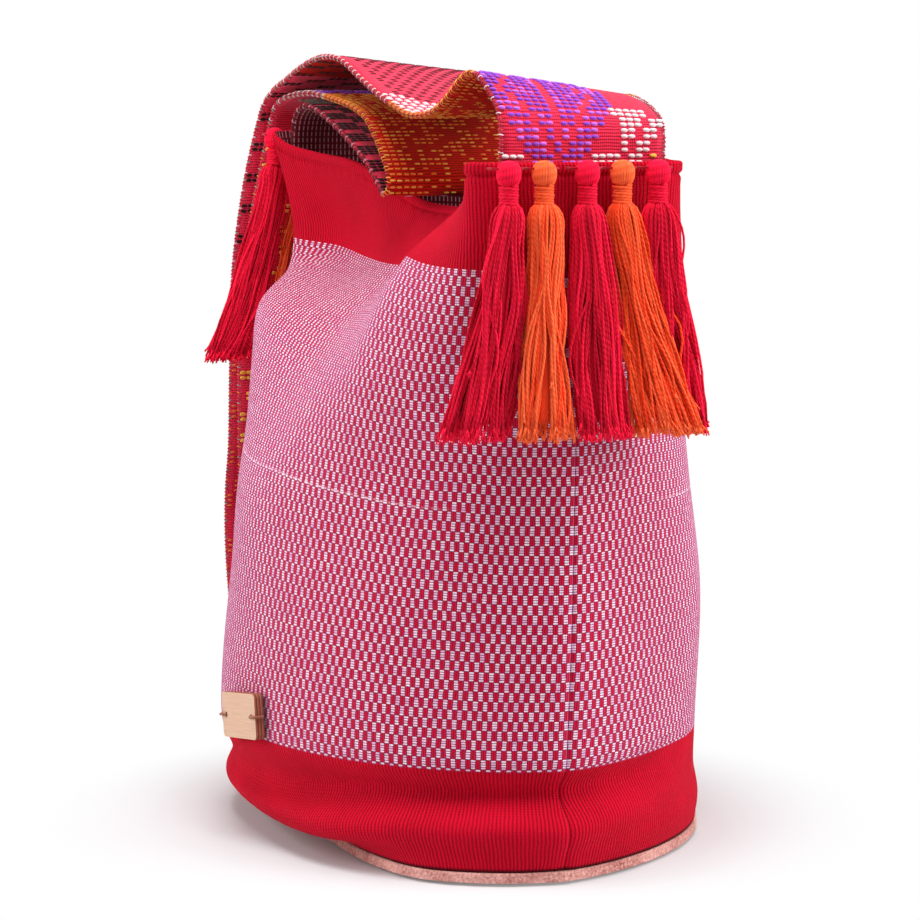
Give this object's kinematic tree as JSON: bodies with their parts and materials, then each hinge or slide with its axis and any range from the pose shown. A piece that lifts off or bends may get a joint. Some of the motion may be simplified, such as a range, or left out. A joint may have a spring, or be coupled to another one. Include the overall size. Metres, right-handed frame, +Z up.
{
  "type": "shoulder bag",
  "caption": "Soft handwoven bucket shoulder bag with an oval suede base, a woven strap folded over its mouth, thread tassels and a wooden tag.",
  "frame": {"origin": "middle of the flat underside of the sole, on the floor", "axes": "+Z up towards the mouth, +X towards the strap end whose tassels face the camera, -Y out of the panel that carries the tag"},
  "size_m": [0.353, 0.2169, 0.347],
  "materials": {
    "panel_cloth": "handwoven cotton, red bands and a white and red check",
    "strap_cloth": "warp-faced woven band with brocaded dashes",
    "suede": "pinkish tan suede",
    "plywood": "bare birch plywood with laser-browned edges",
    "yarn_red": "twisted cotton yarn",
    "yarn_orange": "twisted cotton yarn",
    "sewing_thread": "waxed sewing thread"
  },
  "bodies": {
    "bag": {"front_panel": "panel_cloth", "back_panel": "panel_cloth", "base_sole": "suede", "strap": "strap_cloth", "tag": "plywood", "tag_thread_left": "sewing_thread", "tag_thread_right": "sewing_thread", "tassel_plus_first_tie": "yarn_red", "tassel_plus_second_tie": "yarn_orange", "tassel_plus_third_tie": "yarn_red", "tassel_plus_fourth_tie": "yarn_orange", "tassel_plus_fifth_tie": "yarn_red", "tassel_minus_first_tie": "yarn_red", "tassel_minus_second_tie": "yarn_orange", "tassel_minus_third_tie": "yarn_red", "tassel_minus_fourth_tie": "yarn_orange", "tassel_minus_fifth_tie": "yarn_red"},
    "tassel_plus_first": {"tassel_plus_first_skein": "yarn_red", "tassel_plus_first_binding": "yarn_red"},
    "tassel_plus_second": {"tassel_plus_second_skein": "yarn_orange", "tassel_plus_second_binding": "yarn_orange"},
    "tassel_plus_third": {"tassel_plus_third_skein": "yarn_red", "tassel_plus_third_binding": "yarn_red"},
    "tassel_plus_fourth": {"tassel_plus_fourth_skein": "yarn_orange", "tassel_plus_fourth_binding": "yarn_orange"},
    "tassel_plus_fifth": {"tassel_plus_fifth_skein": "yarn_red", "tassel_plus_fifth_binding": "yarn_red"},
    "tassel_minus_first": {"tassel_minus_first_skein": "yarn_red", "tassel_minus_first_binding": "yarn_red"},
    "tassel_minus_second": {"tassel_minus_second_skein": "yarn_orange", "tassel_minus_second_binding": "yarn_orange"},
    "tassel_minus_third": {"tassel_minus_third_skein": "yarn_red", "tassel_minus_third_binding": "yarn_red"},
    "tassel_minus_fourth": {"tassel_minus_fourth_skein": "yarn_orange", "tassel_minus_fourth_binding": "yarn_orange"},
    "tassel_minus_fifth": {"tassel_minus_fifth_skein": "yarn_red", "tassel_minus_fifth_binding": "yarn_red"}
  },
  "joints": [
    {"name": "swing_plus_first", "type": "hinge", "parent": "bag", "child": "tassel_plus_first", "pos_m": [0.14675, -0.0365, 0.299], "axis": [0, -1, 0], "range_deg": [0, 75]},
    {"name": "swing_plus_second", "type": "hinge", "parent": "bag", "child": "tassel_plus_second", "pos_m": [0.14675, -0.021, 0.299], "axis": [0, -1, 0], "range_deg": [0, 75]},
    {"name": "swing_plus_third", "type": "hinge", "parent": "bag", "child": "tassel_plus_third", "pos_m": [0.14675, -0.002, 0.299], "axis": [0, -1, 0], "range_deg": [0, 75]},
    {"name": "swing_plus_fourth", "type": "hinge", "parent": "bag", "child": "tassel_plus_fourth", "pos_m": [0.14675, 0.0135, 0.299], "axis": [0, -1, 0], "range_deg": [0, 75]},
    {"name": "swing_plus_fifth", "type": "hinge", "parent": "bag", "child": "tassel_plus_fifth", "pos_m": [0.14675, 0.0295, 0.299], "axis": [0, -1, 0], "range_deg": [0, 75]},
    {"name": "swing_minus_first", "type": "hinge", "parent": "bag", "child": "tassel_minus_first", "pos_m": [-0.14523, -0.04, 0.309], "axis": [0, 1, 0], "range_deg": [0, 10]},
    {"name": "swing_minus_second", "type": "hinge", "parent": "bag", "child": "tassel_minus_second", "pos_m": [-0.14523, -0.0205, 0.309], "axis": [0, 1, 0], "range_deg": [0, 5]},
    {"name": "swing_minus_third", "type": "hinge", "parent": "bag", "child": "tassel_minus_third", "pos_m": [-0.14523, -0.0005, 0.309], "axis": [0, 1, 0], "range_deg": [0, 4]},
    {"name": "swing_minus_fourth", "type": "hinge", "parent": "bag", "child": "tassel_minus_fourth", "pos_m": [-0.14523, 0.019, 0.309], "axis": [0, 1, 0], "range_deg": [0, 4]},
    {"name": "swing_minus_fifth", "type": "hinge", "parent": "bag", "child": "tassel_minus_fifth", "pos_m": [-0.14523, 0.037, 0.309], "axis": [0, 1, 0], "range_deg": [0, 38]}
  ]
}
